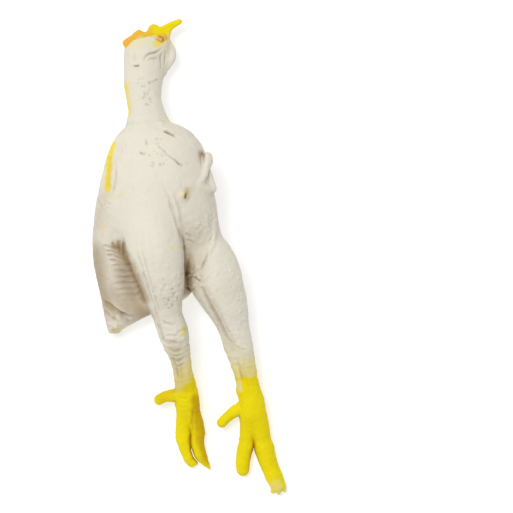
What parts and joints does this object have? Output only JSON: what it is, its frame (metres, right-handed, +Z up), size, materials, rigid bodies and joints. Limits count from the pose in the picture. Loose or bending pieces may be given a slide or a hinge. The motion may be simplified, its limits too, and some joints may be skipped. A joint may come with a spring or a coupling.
{
  "type": "rubber chicken",
  "caption": "Hollow moulded latex chicken with a squeaker inside, lying on its back, with a bending neck, legs and toes that spring back.",
  "frame": {"origin": "on the table, under the middle of the toy's bounding box as it lies", "axes": "+X towards the belly's side, +Y from the feet to the head, +Z up from the table"},
  "size_m": [0.1958, 0.4703, 0.108],
  "materials": {
    "latex": "matte cream latex, faintly mottled",
    "comb_paint": "sprayed orange-yellow over latex",
    "beak_paint": "sprayed yellow over latex",
    "foot_paint": "sprayed bright yellow over latex",
    "squeaker_plastic": "natural polythene",
    "reed_brass": "thin strip"
  },
  "bodies": {
    "torso": {"torso_skin": "latex", "tail_skin": "latex", "right_wing": "latex", "left_wing": "latex", "squeaker_housing": "squeaker_plastic", "squeaker_cap": "squeaker_plastic", "reed_plate": "squeaker_plastic"},
    "reed": {"reed": "reed_brass"},
    "neck": {"neck_skin": "latex"},
    "head": {"head_skin": "latex", "comb": "comb_paint", "upper_beak": "beak_paint", "lower_beak": "beak_paint", "wattle": "latex"},
    "right_drumstick": {"right_drumstick": "latex"},
    "right_shank": {"right_shank": "latex"},
    "right_foot": {"right_foot": "foot_paint"},
    "right_hind_toe": {"right_hind_toe": "foot_paint"},
    "right_inner_toe": {"right_inner_toe": "foot_paint"},
    "right_outer_toe": {"right_outer_toe": "foot_paint"},
    "left_drumstick": {"left_drumstick": "latex"},
    "left_shank": {"left_shank": "latex"},
    "left_foot": {"left_foot": "foot_paint"},
    "left_hind_toe": {"left_hind_toe": "foot_paint"},
    "left_inner_toe": {"left_inner_toe": "foot_paint"},
    "left_outer_toe": {"left_outer_toe": "foot_paint"}
  },
  "joints": [
    {"name": "neck_bend", "type": "hinge", "parent": "torso", "child": "neck", "pos_m": [-0.0423, 0.1368, 0.045], "axis": [0, 0, 1], "range_deg": [-25, 25], "stiffness_Nm_per_rad": 1},
    {"name": "head_nod", "type": "hinge", "parent": "neck", "child": "head", "pos_m": [-0.04714, 0.17643, 0.02651], "axis": [0, 0, 1], "range_deg": [-25, 25], "stiffness_Nm_per_rad": 0.6},
    {"name": "reed_flutter", "type": "hinge", "parent": "torso", "child": "reed", "pos_m": [-0.01368, 0.05793, 0.08925], "axis": [0, -1, 0], "range_deg": [0, 4], "stiffness_Nm_per_rad": 0.0005},
    {"name": "right_hip", "type": "hinge", "parent": "torso", "child": "right_drumstick", "pos_m": [-0.0333, -0.0082, 0.08], "axis": [-0.867, 0, 0.4983], "range_deg": [0, 50], "stiffness_Nm_per_rad": 1.5},
    {"name": "right_hock", "type": "hinge", "parent": "right_drumstick", "child": "right_shank", "pos_m": [-0.01308, -0.09113, 0.04569], "axis": [-0.867, 0, 0.4983], "range_deg": [0, 45], "stiffness_Nm_per_rad": 0.6},
    {"name": "right_ankle", "type": "hinge", "parent": "right_shank", "child": "right_foot", "pos_m": [-0.00404, -0.13856, 0.02151], "axis": [-0.867, 0, 0.4983], "range_deg": [0, 30], "stiffness_Nm_per_rad": 0.4},
    {"name": "right_hind_toe_curl", "type": "hinge", "parent": "right_foot", "child": "right_hind_toe", "pos_m": [-0.01873, -0.14213, 0.02099], "axis": [0, 0, 1], "range_deg": [-15, 25], "stiffness_Nm_per_rad": 0.05},
    {"name": "right_inner_toe_curl", "type": "hinge", "parent": "right_foot", "child": "right_inner_toe", "pos_m": [-0.00773, -0.17979, 0.01064], "axis": [-0.969, -0.247, 0], "range_deg": [0, 25], "stiffness_Nm_per_rad": 0.05},
    {"name": "right_outer_toe_curl", "type": "hinge", "parent": "right_foot", "child": "right_outer_toe", "pos_m": [0.00857, -0.17799, 0.01064], "axis": [-0.9379, -0.3469, 0], "range_deg": [0, 25], "stiffness_Nm_per_rad": 0.05},
    {"name": "left_hip", "type": "hinge", "parent": "torso", "child": "left_drumstick", "pos_m": [0.0227, -0.0102, 0.048], "axis": [-0.867, 0, 0.4983], "range_deg": [0, 50], "stiffness_Nm_per_rad": 1.5},
    {"name": "left_hock", "type": "hinge", "parent": "left_drumstick", "child": "left_shank", "pos_m": [0.04939, -0.09641, 0.03013], "axis": [-0.867, 0, 0.4983], "range_deg": [0, 45], "stiffness_Nm_per_rad": 0.6},
    {"name": "left_ankle", "type": "hinge", "parent": "left_shank", "child": "left_foot", "pos_m": [0.06133, -0.14813, 0.0202], "axis": [-0.867, 0, 0.4983], "range_deg": [0, 30], "stiffness_Nm_per_rad": 0.4},
    {"name": "left_hind_toe_curl", "type": "hinge", "parent": "left_foot", "child": "left_hind_toe", "pos_m": [0.04697, -0.15705, 0.0184], "axis": [0, 0, 1], "range_deg": [-15, 25], "stiffness_Nm_per_rad": 0.05},
    {"name": "left_inner_toe_curl", "type": "hinge", "parent": "left_foot", "child": "left_inner_toe", "pos_m": [0.05629, -0.18956, 0.01075], "axis": [-0.998, 0.0628, 0], "range_deg": [0, 25], "stiffness_Nm_per_rad": 0.05},
    {"name": "left_outer_toe_curl", "type": "hinge", "parent": "left_foot", "child": "left_outer_toe", "pos_m": [0.07264, -0.1883, 0.01075], "axis": [-0.8957, -0.4446, 0], "range_deg": [0, 25], "stiffness_Nm_per_rad": 0.05}
  ]
}
